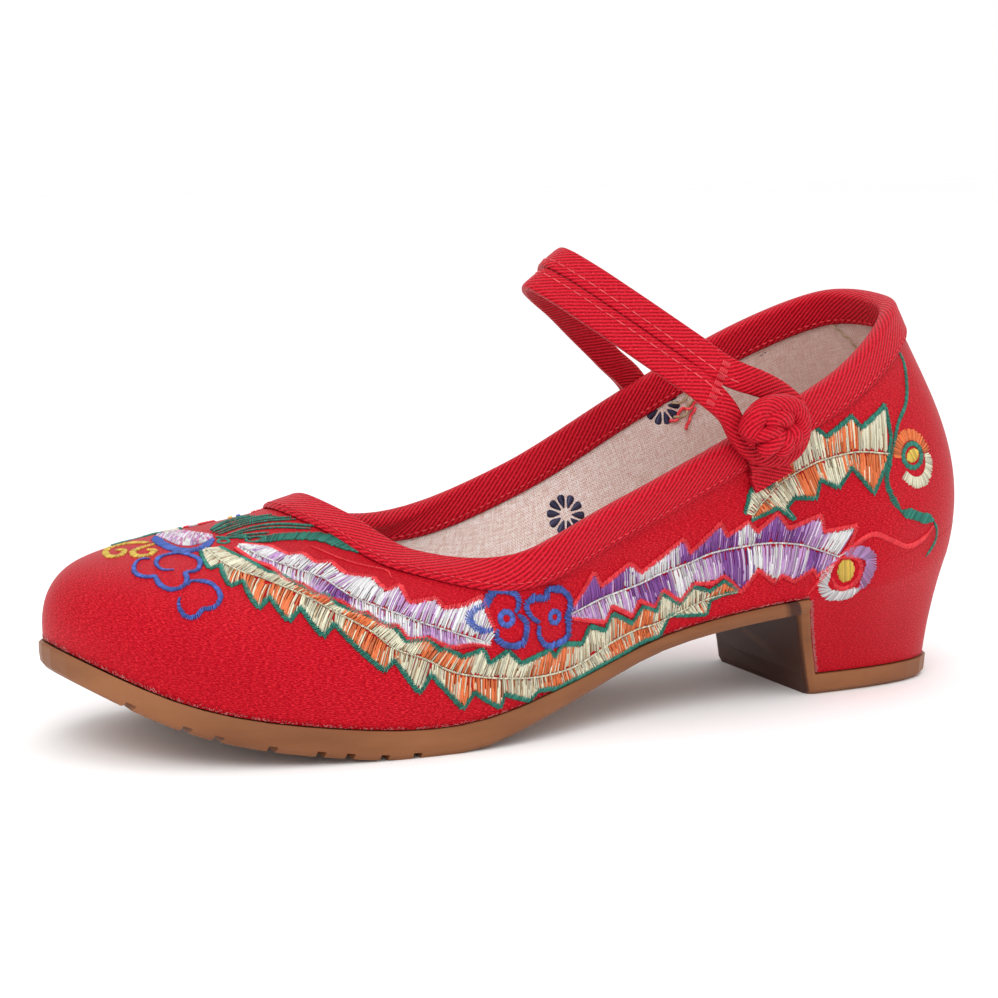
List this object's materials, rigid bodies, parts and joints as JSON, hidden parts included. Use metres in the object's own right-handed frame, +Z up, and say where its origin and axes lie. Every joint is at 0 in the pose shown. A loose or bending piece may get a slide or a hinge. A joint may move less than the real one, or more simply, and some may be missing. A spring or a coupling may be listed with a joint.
{
  "type": "embroidered cloth shoe",
  "caption": "Left cloth shoe with embroidered satin upper, bound collar, instep strap with loop and knot button, and a cloth-covered block heel on a rubber sole.",
  "frame": {"origin": "centre of the heel's flat base, on the floor", "axes": "+X from heel to toe, +Y to the outer side of the left foot, +Z up"},
  "size_m": [0.2364, 0.0843, 0.1104],
  "materials": {
    "sole_rubber": "smooth moulded tan rubber, darker on the heel's front",
    "satin": "red satin with raised thread embroidery",
    "twill": "red ribbed twill tape",
    "linen": "beige plain-weave linen"
  },
  "bodies": {
    "root": {"outsole": "sole_rubber", "insole": "linen", "upper": "satin", "topline_binding": "twill", "instep_strap": "twill", "button_tab": "twill", "knot_button": "twill"}
  },
  "joints": []
}
